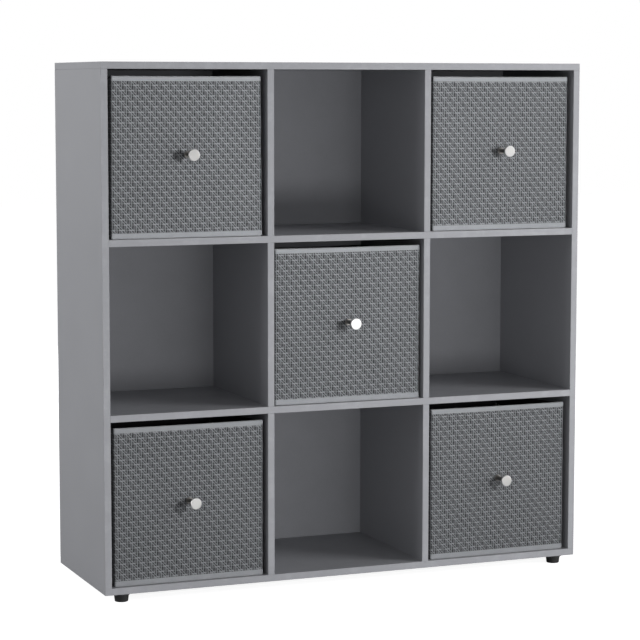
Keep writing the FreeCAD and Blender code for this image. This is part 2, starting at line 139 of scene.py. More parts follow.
class CubeStageSettings(bpy.types.PropertyGroup):
    """Camera, floor and lights."""
    lens: bpy.props.FloatProperty(
        name="Lens", description="Focal length on a 36 mm sensor", default=124.26,
        min=1, unit="CAMERA")
    camera_place: bpy.props.FloatVectorProperty(
        name="Camera place", description="Where the camera stands", subtype="TRANSLATION",
        size=3, default=(-1.507, -3.7046, 0.887))
    camera_yaw: bpy.props.FloatProperty(
        name="Yaw", description="Turn of the view towards the right", subtype="ANGLE",
        default=math.radians(22.08))
    camera_pitch: bpy.props.FloatProperty(
        name="Pitch", description="Tilt of the view downwards", subtype="ANGLE",
        default=math.radians(6.10))
    camera_roll: bpy.props.FloatProperty(
        name="Roll", description="Turn of the view about its own axis", subtype="ANGLE",
        default=math.radians(0.05))
    key_power: power_setting("Key", "Soft light in front, on the right, for the drawers", 15.5)
    front_power: power_setting("Front fill", "Flat, wide light on everything, at camera height",
                               19.0)
    right_power: power_setting("Right", "Wide light on the right", 140.0)
    low_power: power_setting("Low fill", "Wide light in front, near the floor", 20.6)
    left_power: power_setting("Left fill", "Wide light on the left", 29.5)
    ambient: bpy.props.FloatProperty(
        name="Ambient", description="Even light from the white surroundings", default=0.22,
        min=0)
    sheen_light: bpy.props.FloatProperty(
        name="Reflected white", description="Brightness of the surroundings in reflections",
        default=0.72, min=0)
    rear_power: power_setting("Rear", "Wide light behind, which shows the back", 45.0)


# ---- formulas that work on numbers, on arrays and in shader trees --------------------------

class Wire:
    """A value that runs through a shader tree, so that a pattern is written as a formula."""

    def __init__(self, graph, socket):
        self.graph = graph
        self.socket = socket

    def __add__(self, other):
        return self.graph.math("ADD", self, other)

    __radd__ = __add__

    def __sub__(self, other):
        return self.graph.math("SUBTRACT", self, other)

    def __rsub__(self, other):
        return self.graph.math("SUBTRACT", other, self)

    def __mul__(self, other):
        return self.graph.math("MULTIPLY", self, other)

    __rmul__ = __mul__

    def __truediv__(self, other):
        return self.graph.math("DIVIDE", self, other)

    def __pow__(self, power):
        return self.graph.math("POWER", self, power)

    def __abs__(self):
        return self.graph.math("ABSOLUTE", self)


def eased(low, high, value):
    """0 below low, 1 above high and smooth in between."""
    if isinstance(value, Wire):
        node = value.graph.add("MapRange", interpolation_type="SMOOTHSTEP", inputs={
            "Value": value, "From Min": low, "From Max": high})
        return value.graph.out(node, "Result")
    share = np.clip((value - low) / (high - low), 0.0, 1.0)
    return share * share * (3.0 - 2.0 * share)


def folded(value, half):
    """Distance from the nearest multiple of twice half."""
    if isinstance(value, Wire):
        return value.graph.math("PINGPONG", value, half)
    rest = np.mod(value, 2.0 * half)
    return np.minimum(rest, 2.0 * half - rest)


def centred(value):
    """Signed distance from the nearest whole number."""
    if isinstance(value, Wire):
        return value - value.graph.math("ROUND", value)
    return value - np.round(value)


def bell(value, width):
    """1 where value is 0, falling smoothly to 0 at width."""
    return 1.0 - eased(0.0, width, abs(value))


WEAVE_ACROSS = 17.0          # millimetres; one repeat of the cane weave
WEAVE_UP = 18.1
SLANT_SPACING = 12.4         # between neighbouring slanted strands, square to them
SLANT_HALF = 1.6             # from the middle of a slanted strand to its two raised edges
EYE_RADIUS = 3.5
EYE_HALF_HEIGHT = 3.3


def cane_weave(across, up):
    """Tone and height, 0 to 1, of the cane weave at a point of the cloth in millimetres.

    Level canes lie in rows half a repeat apart. Upright canes lie a quarter of a repeat
    apart. Wide slanted strands cross over both, and an open eye is left between them."""
    half_across = WEAVE_ACROSS / 2.0
    half_up = WEAVE_UP / 2.0
    column = across / half_across
    row = up / half_up
    along_slant = (column - row) / 2.0
    over_slant = (column + row) / 2.0
    from_slant = folded(over_slant, 0.5) * SLANT_SPACING
    from_row = folded(row, 0.5) * half_up
    from_column = folded(column, 0.25) * half_across

    eye_a = centred(along_slant)
    eye_b = centred(over_slant + 0.5)
    eye_x = (eye_a + eye_b) * half_across
    eye_z = (eye_b - eye_a) * half_up
    eye_rows = 1.0 - eased(EYE_HALF_HEIGHT - 0.7, EYE_HALF_HEIGHT + 0.6, abs(eye_z))
    eye_radius = (eye_x * eye_x + eye_z * eye_z) ** 0.5
    eye = 1.0 - eased(EYE_RADIUS - 0.7, EYE_RADIUS + 0.5, eye_radius)
    ring = bell(eye_radius - EYE_RADIUS - 0.6, 0.8)
    shade = bell(eye_x + 2.7 - eye_z * 0.24, 2.2) * eye_rows

    knot_a = centred(along_slant)
    knot_b = centred(over_slant)
    knot_x = (knot_a + knot_b) * half_across
    knot_z = (knot_b - knot_a) * half_up
    knot = bell(knot_x, 4.6) * bell(knot_z, 1.8)

    under_slant = eased(2.0, 2.7, from_slant)
    upright = (1.0 - eased(0.35, 1.15, from_column)) * under_slant
    level = 1.0 - eased(0.3, 1.2, from_row)
    edges = 1.0 - eased(0.3, 1.15, abs(from_slant - SLANT_HALF))
    strand = 1.0 - eased(1.9, 2.6, from_slant)
    pit = bell(from_slant, 1.7) * bell(abs(eye_a) - 0.27, 0.16)

    tone = (0.19 + eye * 0.16 + upright * 0.10 + upright * (1.0 - eye) * 0.30 + level * 0.18
            + edges * 0.36 + strand * 0.14 + knot * 0.24 + ring * 0.20 - pit * 0.48
            - shade * 0.27)
    height = (0.30 + upright * 0.22 * (1.0 - eye) + level * 0.22 + strand * 0.16
              + edges * 0.22 + knot * 0.14 - pit * 0.20 - eye * 0.22)
    return tone, height


# ---- shader trees ----------------------------------------------------------------------------

class Graph:
    """Short ways to add nodes to a shader tree."""

    def __init__(self, tree):
        self.tree = tree
        tree.nodes.clear()

    def add(self, kind, inputs=None, **settings):
        """A node of that kind with its settings made and its inputs fed."""
        node = self.tree.nodes.new(kind if kind.startswith("NodeGroup") else "ShaderNode" + kind)
        count = len(self.tree.nodes)
        node.location = (190 * (count % 14), -260 * (count // 14))
        for name, value in settings.items():
            setattr(node, name, value)
        for name, value in (inputs or {}).items():
            self.feed(node.inputs[name], value)
        return node

    def feed(self, socket, value):
        """Links a wire to the socket, or sets its constant."""
        if isinstance(value, Wire):
            self.tree.links.new(value.socket, socket)
        elif hasattr(value, "__len__") and socket.type == "RGBA" and len(value) == 3:
            socket.default_value = (*value, 1.0)
        else:
            socket.default_value = value

    def out(self, node, name=0):
        """One output of a node as a wire."""
        return Wire(self, node.outputs[name])

    def math(self, operation, *values):
        """One maths node."""
        node = self.add("Math", operation=operation)
        for socket, value in zip(node.inputs, values):
            self.feed(socket, value)
        return self.out(node)

    def vector(self, operation, first, second):
        """One vector maths node whose result is a vector."""
        node = self.add("VectorMath", operation=operation)
        self.feed(node.inputs[0], first)
        self.feed(node.inputs[3 if operation == "SCALE" else 1], second)
        return self.out(node)

    def split(self, vector):
        """The three parts of a vector."""
        node = self.add("SeparateXYZ", inputs={0: vector})
        return [self.out(node, part) for part in range(3)]

    def joined(self, x, y, z=0.0):
        """A vector made of three parts."""
        return self.out(self.add("CombineXYZ", inputs={0: x, 1: y, 2: z}))

    def noise(self, vector, scale, detail=2.0, roughness=0.5):
        """Smooth noise from 0 to 1."""
        return self.out(self.add("TexNoise", inputs={
            "Vector": vector, "Scale": scale, "Detail": detail, "Roughness": roughness}), "Fac")

    def blend(self, share, first, second):
        """A colour between two colours."""
        node = self.add("Mix", data_type="RGBA", blend_type="MIX", clamp_factor=True)
        for index, value in ((0, share), (6, first), (7, second)):
            self.feed(node.inputs[index], value)
        return self.out(node, 2)

    def bump(self, height, distance):
        """A normal bent by a height field; distance is its full height in metres."""
        return self.out(self.add("Bump", inputs={
            "Strength": 1.0, "Distance": distance, "Height": height}), "Normal")

    def use(self, group, **inputs):
        """A node group placed with its own values."""
        node = self.add("Group", node_tree=group)
        for name, value in inputs.items():
            self.feed(node.inputs[name.replace("_", " ")], value)
        return node


def effect_group(name, inputs, outputs, build):
    """A node group with named inputs and outputs; build returns the outputs' wires in order."""
    tree = bpy.data.node_groups.new(name, "ShaderNodeTree")
    for label, kind, default in inputs:
        socket = tree.interface.new_socket(name=label, in_out="INPUT", socket_type=kind)
        if default is not None:
            socket.default_value = default
    for label, kind in outputs:
        tree.interface.new_socket(name=label, in_out="OUTPUT", socket_type=kind)
    graph = Graph(tree)
    source = graph.add("NodeGroupInput")
    wires = {label: graph.out(source, label) for label, kind, default in inputs}
    results = build(graph, wires)
    sink = graph.add("NodeGroupOutput")
    for (label, kind), wire in zip(outputs, results):
        graph.feed(sink.inputs[label], wire)
    return tree


FLOAT = "NodeSocketFloat"
VECTOR = "NodeSocketVector"


def build_cane(graph, wires):
    """The cane weave, with the yarns it is woven of."""
    x, y = graph.split(wires["Place"])[:2]
    wander = graph.noise(wires["Place"], 0.09, 1.0)
    tone, height = cane_weave(x + (wander - 0.5) * 0.9, y + (wander - 0.5) * 0.7)
    return tone, height


def build_yarns(graph, wires):
    """Plain weave: over and under, row by row, with uneven yarns."""
    x, y = graph.split(wires["Place"])[:2]
    column = x / wires["Pitch"]
    row = y / wires["Pitch"]
    warp = graph.math("SINE", column * math.pi)
    weft = graph.math("SINE", row * math.pi)
    over = graph.math("ABSOLUTE", warp) * 0.5 + graph.math("ABSOLUTE", weft) * 0.5
    cross = warp * weft
    uneven = graph.noise(graph.joined(x * 0.25, y * 2.4), 1.0, 2.0)
    height = over * 0.7 + cross * 0.15 + uneven * 0.3
    return (height,)


def build_felt(graph, wires):
    """Non-woven cloth: laid fibres, pressed together in a lattice of small dots."""
    x, y = graph.split(wires["Place"])[:2]
    column = (x + y) / wires["Dot pitch"]
    row = (x - y) / wires["Dot pitch"]
    dot = bell(folded(column, 0.5), 0.33) * bell(folded(row, 0.5), 0.33)
    fibres = graph.noise(graph.joined(x * 0.6, y * 2.2), 1.3, 6.0, 0.62)
    clouds = graph.noise(wires["Place"], 0.06, 3.0)
    height = fibres * 0.45 + (1.0 - dot) * 0.55
    tone = fibres * 0.45 + clouds * 0.35 + (1.0 - dot) * 0.20
    return tone, height


def build_foil(graph, wires):
    """Printed foil on board: a fine pearl grain over very faint clouds."""
    pearl = graph.noise(wires["Place"], 1.1, 3.0, 0.55)
    grain = graph.noise(graph.vector("MULTIPLY", wires["Place"], (0.9, 0.9, 0.9)), 0.22, 2.0)
    clouds = graph.noise(wires["Place"], 0.009, 4.0, 0.6)
    tone = clouds * 0.6 + grain * 0.25 + pearl * 0.15
    return tone, pearl * 0.8 + grain * 0.2


def build_rub_and_highlight(graph, wires):
    """Where hands rub, with a painted highlight: patchy, and strongest at the front edges."""
    y = graph.split(wires["Place"])[1]
    near = 1.0 - eased(0.0, wires["Reach"], abs(y - wires["Front"]))
    patches = eased(0.46, 0.70, graph.noise(wires["Place"], 0.035, 5.0, 0.65))
    return (near * patches,)


def build_dust(graph, wires):
    """Dust that settles on what faces up."""
    normal = graph.out(graph.add("NewGeometry"), "Normal")
    up = graph.split(normal)[2]
    patches = graph.noise(wires["Place"], 0.02, 6.0, 0.7)
    return (eased(0.75, 1.0, up) * eased(0.35, 0.75, patches),)


def build_turning(graph, wires):
    """Fine rings left by the lathe around an axis along Y."""
    x, y, z = graph.split(wires["Place"])
    radius = graph.math("SQRT", x * x + z * z)
    rings = graph.noise(graph.joined(radius * 9.0, y * 5.0), 1.0, 3.0, 0.7)
    broad = graph.noise(graph.joined(radius * 1.4, y * 0.8), 1.0, 1.0)
    return rings, broad


def shared_effects():
    """All node groups, made once."""
    place = ("Place", VECTOR, None)
    both = [("Tone", FLOAT), ("Height", FLOAT)]
    return {
        "cane": effect_group("Cane weave", [place], both, build_cane),
        "yarns": effect_group("Yarns", [place, ("Pitch", FLOAT, 0.5)],
                              [("Height", FLOAT)], build_yarns),
        "felt": effect_group("Non-woven cloth", [place, ("Dot pitch", FLOAT, 2.2)],
                             both, build_felt),
        "foil": effect_group("Board foil", [place], both, build_foil),
        "rub_and_highlight": effect_group("Handling wear",
                                 [place, ("Front", FLOAT, 0.0), ("Reach", FLOAT, 1.5)],
                                 [("Mask", FLOAT)], build_rub_and_highlight),
        "dust": effect_group("Settled dust", [place], [("Mask", FLOAT)], build_dust),
        "turning": effect_group("Lathe rings", [place],
                                [("Rings", FLOAT), ("Broad", FLOAT)], build_turning),
    }


EFFECTS = {}


def material(name, build, **constants):
    """A material whose build function feeds its Principled shader; constants are set on it."""
    made = bpy.data.materials.new(name)
    made.use_nodes = True
    graph = Graph(made.node_tree)
    shader = graph.add("BsdfPrincipled")
    for label, value in constants.items():
        graph.feed(shader.inputs[label.replace("_", " ")], value)
    for label, value in build(graph).items():
        graph.feed(shader.inputs[label], value)
    output = graph.add("OutputMaterial")
    made.node_tree.links.new(shader.outputs["BSDF"], output.inputs["Surface"])
    return made


def object_millimetres(graph):
    """The point's place in the part's own frame, in millimetres."""
    place = graph.out(graph.add("TexCoord"), "Object")
    return graph.vector("SCALE", place, 1.0 / MM)


def cloth_millimetres(graph):
    """The point's place on the flat cloth, in millimetres."""
    place = graph.out(graph.add("UVMap", uv_map=CLOTH_MAP))
    return graph.vector("SCALE", place, 1.0 / MM)


def scaled(colour, factor):
    """A colour made lighter or darker."""
    return tuple(min(1.0, part * factor) for part in colour)


def board_material(colour, roughness, tape):
    """Grey foil with taped front edges."""
    def build(graph):
        place = object_millimetres(graph)
        foil = graph.use(EFFECTS["foil"], Place=place)
        tone = graph.out(foil, "Tone")
        y = graph.split(place)[1]
        seam_at = (FRONT_EDGE_Y + tape) / MM
        seam = bell(y - seam_at, 0.22)
        # Painted highlight, partly: the front edges are lightened in patches, partly as rubbed wear.
        wear_and_highlight = graph.out(graph.use(EFFECTS["rub_and_highlight"], Place=place,
                                   Front=FRONT_EDGE_Y / MM, Reach=0.8), "Mask")
        dust = graph.out(graph.use(EFFECTS["dust"], Place=place), "Mask")
        plain = graph.blend(eased(0.25, 0.75, tone), scaled(colour, 0.965), scaled(colour, 1.035))
        seamed = graph.blend(seam * 0.35, plain, scaled(colour, 0.45))
        rubbed_lit_colour = graph.blend(wear_and_highlight * 0.22, seamed, scaled(colour, 1.5))
        dusty = graph.blend(dust * 0.02, rubbed_lit_colour, (0.55, 0.54, 0.52))
        gloss = (tone - 0.5) * 0.14 + roughness + dust * 0.12
        height = graph.out(foil, "Height") - seam * 0.6
        return {"Base Color": dusty, "Roughness": gloss,
                "Normal": graph.bump(height, 0.018 * MM)}
    return material("grey_foil_board", build, IOR=1.45, Specular_IOR_Level=0.45)


def back_material(colour):
    """Painted hardboard: fibres show through thin paint."""
    def build(graph):
        place = object_millimetres(graph)
        fibres = graph.noise(graph.vector("MULTIPLY", place, (0.9, 1.0, 0.35)), 0.9, 6.0, 0.6)
        clouds = graph.noise(place, 0.012, 5.0, 0.6)
        tone = fibres * 0.4 + clouds * 0.6
        colours = graph.blend(eased(0.3, 0.7, tone), scaled(colour, 0.95), scaled(colour, 1.05))
        return {"Base Color": colours, "Roughness": tone * 0.2 + 0.55,
                "Normal": graph.bump(fibres, 0.03 * MM)}
    return material("painted_hardboard", build, IOR=1.45, Specular_IOR_Level=0.35)


def foot_material(colour):
    """Moulded black plastic with a fine spark grain."""
    def build(graph):
        place = object_millimetres(graph)
        grain = graph.noise(place, 2.4, 3.0, 0.6)
        clouds = graph.noise(place, 0.12, 3.0)
        dust = graph.out(graph.use(EFFECTS["dust"], Place=place), "Mask")
        colours = graph.blend(clouds, scaled(colour, 0.8), scaled(colour, 1.4))
        dusty = graph.blend(dust * 0.12, colours, (0.25, 0.24, 0.23))
        return {"Base Color": dusty, "Roughness": grain * 0.2 + 0.38,
                "Normal": graph.bump(grain, 0.03 * MM)}
    return material("moulded_black_plastic", build, IOR=1.49)


def steel_material():
    """Zinc-plated steel of hidden fittings."""
    def build(graph):
        place = object_millimetres(graph)
        cloudy = graph.noise(place, 0.5, 5.0, 0.6)
        scratches = graph.noise(graph.vector("MULTIPLY", place, (6.0, 0.8, 0.8)), 1.0, 3.0)
        colours = graph.blend(cloudy, (0.50, 0.50, 0.52), (0.68, 0.68, 0.69))
        return {"Base Color": colours, "Roughness": cloudy * 0.2 + 0.22,
                "Normal": graph.bump(scratches, 0.01 * MM)}
    return material("zinc_plated_steel", build, Metallic=1.0)


def dowel_material():
    """Beech dowels with their grain along Z."""
    def build(graph):
        place = object_millimetres(graph)
        grain = graph.noise(graph.vector("MULTIPLY", place, (2.0, 2.0, 0.12)), 1.0, 5.0, 0.6)
        flecks = graph.noise(graph.vector("MULTIPLY", place, (5.0, 5.0, 0.5)), 1.0, 2.0)
        colours = graph.blend(grain, (0.42, 0.25, 0.13), (0.62, 0.43, 0.26))
        flecked = graph.blend(eased(0.62, 0.75, flecks) * 0.5, colours, (0.30, 0.16, 0.08))
        return {"Base Color": flecked, "Roughness": grain * 0.2 + 0.55,
                "Normal": graph.bump(grain, 0.05 * MM)}
    return material("beech_dowel", build)


# The knob's neck is painted darker: painted shade, and a painted reflection of the dark cloth around
# it.
NECK_SHADE_STARTS = (3.5, 6.5)                # millimetres behind the cap's face, from and to
NECK_SHADE_SHARE = 0.9
NECK_SHADE_COLOUR = (0.13, 0.125, 0.118)


def knob_material(name, colour, axis):
    """Satin nickel turned around the knob's own axis, with painted shade and a painted dark
    reflection on the neck.
    """
    def build(graph):
        moved = graph.add("Mapping", vector_type="POINT", inputs={
            "Vector": graph.out(graph.add("TexCoord"), "Object"),
            "Location": (-axis.x, -axis.y, -axis.z)})
        place = graph.vector("SCALE", graph.out(moved), 1.0 / MM)
        turned = graph.use(EFFECTS["turning"], Place=place)
        rings = graph.out(turned, "Rings")
        broad = graph.out(turned, "Broad")
        # Painted shade and painted reflection: behind the cap's face the nickel is blended towards a
        # dark brown.
        neck_shade = eased(*NECK_SHADE_STARTS, graph.split(place)[1])
        colours = graph.blend(broad, scaled(colour, 0.94), scaled(colour, 1.03))
        neck_shaded = graph.blend(neck_shade * NECK_SHADE_SHARE, colours, NECK_SHADE_COLOUR)
        return {"Base Color": neck_shaded, "Roughness": rings * 0.10 + 0.26,
                "Normal": graph.bump(rings, 0.012 * MM)}
    return material(name, build, Metallic=1.0)


def cover_material(light, dark):
    """Jacquard cloth that shows a cane weave."""
    def build(graph):
        place = cloth_millimetres(graph)
        cane = graph.use(EFFECTS["cane"], Place=place)
        yarns = graph.use(EFFECTS["yarns"], Place=place, Pitch=0.42)
        lint = graph.noise(place, 0.38, 6.0, 0.75)
        clouds = graph.noise(place, 0.018, 3.0, 0.55)
        fine = graph.out(yarns, "Height")
        tone = (graph.out(cane, "Tone") + (fine - 0.5) * 0.22 + (lint - 0.5) * 0.85
                + (clouds - 0.5) * 0.10)
        colours = graph.blend(eased(-0.03, 1.06, tone), dark, light)
        height = graph.out(cane, "Height") * 0.6 + fine * 0.4
        return {"Base Color": colours, "Roughness": 0.92 - tone * 0.14,
                "Normal": graph.bump(height, 0.16 * MM)}
    return material("cane_weave_cloth", build, Specular_IOR_Level=0.25, Sheen_Weight=0.10,
                    Sheen_Roughness=0.45)


def felt_material(name, colour, pitch=2.2, lift=1.0):
    """Pressed non-woven cloth."""
    def build(graph):
        place = cloth_millimetres(graph)
        felt = graph.use(EFFECTS["felt"], Place=place, Dot_pitch=pitch)
        tone = graph.out(felt, "Tone")
        colours = graph.blend(eased(0.3, 0.85, tone), scaled(colour, 0.72), scaled(colour, 1.5))
        return {"Base Color": colours, "Roughness": 0.96 - tone * 0.16,
                "Normal": graph.bump(graph.out(felt, "Height"), 0.14 * MM * lift)}
    return material(name, build, Specular_IOR_Level=0.2, Sheen_Weight=0.06,
                    Sheen_Roughness=0.5)


def tape_material(colour, rib):
    """Ribbed binding tape."""
    def build(graph):
        place = cloth_millimetres(graph)
        x = graph.split(place)[0]
        ribs = graph.math("SINE", x * (2.0 * math.pi / (rib / MM)))
        yarns = graph.use(EFFECTS["yarns"], Place=place, Pitch=0.34)
        fine = graph.out(yarns, "Height")
        lint = graph.noise(place, 0.35, 5.0, 0.7)
        patches = graph.noise(place, 0.05, 3.0)
        tone = ribs * 0.10 + fine * 0.35 + lint * 0.35 + patches * 0.3
        colours = graph.blend(eased(0.1, 0.95, tone), scaled(colour, 0.78), scaled(colour, 1.2))
        return {"Base Color": colours, "Roughness": 0.94 - fine * 0.14,
                "Normal": graph.bump(ribs * 0.25 + fine * 0.75, 0.10 * MM)}
    return material("ribbed_tape", build, Specular_IOR_Level=0.25, Sheen_Weight=0.08,
                    Sheen_Roughness=0.45)


def thread_material(name, colour):
    """Twisted sewing thread."""
    def build(graph):
        place = object_millimetres(graph)
        x, y, z = graph.split(place)
        twist = graph.math("SINE", (x + z * 0.8 + y * 0.8) * 9.0)
        fuzz = graph.noise(place, 3.0, 3.0)
        colours = graph.blend(twist * 0.3 + fuzz * 0.6, scaled(colour, 0.7), scaled(colour, 1.25))
        return {"Base Color": colours, "Roughness": fuzz * 0.2 + 0.6,
                "Normal": graph.bump(twist, 0.03 * MM)}
    return material(name, build, Specular_IOR_Level=0.3)


def card_material():
    """Grey board of recycled fibres."""
    def build(graph):
        place = object_millimetres(graph)
        fibres = graph.noise(graph.vector("MULTIPLY", place, (1.6, 1.6, 0.6)), 1.0, 6.0, 0.65)
        specks = graph.noise(place, 1.7, 2.0)
        colours = graph.blend(fibres, (0.20, 0.17, 0.135), (0.33, 0.29, 0.235))
        specked = graph.blend(eased(0.66, 0.72, specks) * 0.6, colours, (0.08, 0.07, 0.06))
        return {"Base Color": specked, "Roughness": fibres * 0.1 + 0.85,
                "Normal": graph.bump(fibres, 0.05 * MM)}
    return material("recycled_card", build, Specular_IOR_Level=0.2)


def refinish(node, finish):
    """Puts a material on every slot of a CAD node."""
    slots = frame["nodes"][node].material_slots
    for slot in slots:
        slot.link = "OBJECT"
        slot.material = finish


# ---- the drawers' cloth, in sizes -------------------------------------------------------------

SPREAD = {"top_left_drawer": 0.014}     # how much wider the foot is than the rim, as a share
FULLNESS = {"centre_drawer": (0.026, 0.0),          # widening as a share, sideways shift
            "bottom_left_drawer": (0.010, 0.6 * MM)}
RIM_LEVEL = 8.0 * MM                    # the rim is level this far behind the front
RIM_FALL = 17.0 * MM                    # and then falls this much to the back
RIM_SAG = 1.6 * MM
KNOB_HOLD = 34.0 * MM                   # the knob keeps the front from swelling this far around
PUCKER = 0.22 * MM
PUCKER_RADIUS = 15.0 * MM
PUCKER_WIDTH = 9.0 * MM
WAVE = 0.8 * MM

WALL_THICKNESS = 4.0 * MM
WALL_ROWS = 14
WALL_STEP = 15.0 * MM
HEM_THICKNESS = 0.5 * MM
HEM_HEIGHT = 11.0 * MM

CARD_THICKNESS = 2.4 * MM
CARD_GAP = 0.15 * MM                    # between a stiffener and the cloth on either side
CARD_BELOW_RIM = 1.6 * MM
CARD_BEFORE_CORNER = 1.0 * MM
CARD_BEVEL = 0.4 * MM

FLOOR_INSET = 0.9 * MM
BASE_INSET = Vector((0.6, 0.4, 0.0)) * MM
BASE_BEVEL = 1.1 * MM
BASE_CROWN = 0.5 * MM

COVER_FOOT = 0.2 * MM                   # the cover starts this far above its lowest place
COVER_HEAD = 2.9 * MM                   # and ends this far below its highest
CANE_END = 2.0 * MM                     # the canes' relief fades out over this at both ends

TOP_TAPE_HEIGHT = 8.5 * MM
BOTTOM_TAPE_HEIGHT = 9.5 * MM
TAPE_END = 0.35 * MM                    # the tapes end this far inside the front's corners
TAPE_EDGE = 0.15 * MM                   # rounding of their long edges
RIB_HEIGHT = 0.06 * MM

STITCH_SHARE = 0.72                     # a stitch's length as a share of its pitch
RIM_STITCH_PITCH = 1.4                  # the rim's pitch as a multiple of the tapes'
TAPE_THREAD = 0.24 * MM
RIM_THREAD = 0.26 * MM
TAPE_SEAM = 1.5 * MM                    # from a tape's inner edge to its seam
HEM_SEAM = 2.5 * MM                     # from the hem's edge to its seam
SEAM_MARGIN = 5.0 * MM                  # a rim seam stops this far before a corner


# ---- meshes --------------------------------------------------------------------------------

def finished_mesh(bm, name):
    """The bmesh as a mesh."""
    mesh = bpy.data.meshes.new(name)
    bm.to_mesh(mesh)
    bm.free()
    return mesh


def piece_with(mesh, name, finish, body):
    """Turns a mesh into a finished piece that rides on a body."""
    mesh.materials.append(finish)
    mesh.polygons.foreach_set("use_smooth", [True] * len(mesh.polygons))
    piece = bpy.data.objects.new(name, mesh)
    bpy.context.scene.collection.objects.link(piece)
    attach(piece, body)
    return piece


class PlanPath:
    """A path in plan with rounded corners, as points, outward normals and distances."""

    def __init__(self, corners, radius, straight_step, arc_steps):
        corners = [Vector(corner) for corner in corners]
        rows = []
        start = corners[0]
        for index in range(1, len(corners)):
            here = corners[index]
            along = (here - corners[index - 1]).normalized()
            outward = Vector((along.y, -along.x))
            last = index == len(corners) - 1
            stop = here if last else here - along * radius
            steps = max(1, round((stop - start).length / straight_step))
            rows += [(*start.lerp(stop, step / steps), *outward) for step in range(steps)]
            if last:
                rows.append((*stop, *outward))
                break
            after = (corners[index + 1] - here).normalized()
            centre = stop + after * radius
            for step in range(arc_steps):
                turn = math.radians(90.0) * step / arc_steps
                normal = outward * math.cos(turn) + along * math.sin(turn)
                rows.append((centre.x + normal.x * radius, centre.y + normal.y * radius, *normal))
            start = centre + along * radius
        self.x, self.y, self.nx, self.ny = np.array(rows).T
        strides = np.hypot(np.diff(self.x), np.diff(self.y))
        self.s = np.concatenate(([0.0], np.cumsum(strides)))
        self.s -= self.s[-1] / 2.0

    @property
    def length(self):
        return self.s[-1] - self.s[0]


class Section:
    """A closed outline of cloth: insets from the path, shares of the rise, and lifts."""

    def __init__(self, points):
        self.inset, self.rise, self.lift = (np.array(column) for column in zip(*points))
        moves = np.hypot(np.diff(self.inset), np.diff(self.rise) * 0.27 + np.diff(self.lift))
        self.t = np.concatenate(([0.0], np.cumsum(moves)))


def swept_cloth(name, path, section, base, rim, shift=(0.0, 0.0), shape=None, closed=False):
    """Sweeps a section along a path: z = base + rise * (rim(y) - base) + lift.

    shape may move the points: it gets arrays of x, y, z, the inset, the path's s and the
    section's row number, and returns x, y, z."""
    columns = len(path.s) - 1
    rows = len(section.inset) - 1
    bm = bmesh.new()
    bmesh.ops.create_grid(bm, x_segments=columns, y_segments=rows, size=0.5)
    mesh = finished_mesh(bm, name)
    flat = np.empty(len(mesh.vertices) * 3)
    mesh.vertices.foreach_get("co", flat)
    flat = flat.reshape(-1, 3) + 0.5
    i = np.rint(flat[:, 0] * columns).astype(int)
    j = np.rint(flat[:, 1] * rows).astype(int)
    inset = section.inset[j]
    x = path.x[i] - path.nx[i] * inset
    y = path.y[i] - path.ny[i] * inset
    z = base + section.rise[j] * (rim(y) - base) + section.lift[j]
    if shape:
        x, y, z = shape(x, y, z, inset, path.s[i], j)
    corner = np.empty(len(mesh.loops), np.int32)
    mesh.loops.foreach_get("vertex_index", corner)
    cloth = np.stack((path.s[i] + shift[0], section.t[j] + shift[1]), 1)[corner]
    mesh.uv_layers.new(name=CLOTH_MAP).data.foreach_set("uv", cloth.ravel())
    mesh.vertices.foreach_set("co", np.stack((x, y, z), 1).ravel())
    bm = bmesh.new()
    bm.from_mesh(mesh)
    bmesh.ops.remove_doubles(bm, verts=bm.verts, dist=0.5e-6)
    if not closed:
        ends = [edge for edge in bm.edges if edge.is_boundary]
        bmesh.ops.holes_fill(bm, edges=ends, sides=0)
    bmesh.ops.recalc_face_normals(bm, faces=bm.faces)
    bm.to_mesh(mesh)
    bm.free()
    return mesh


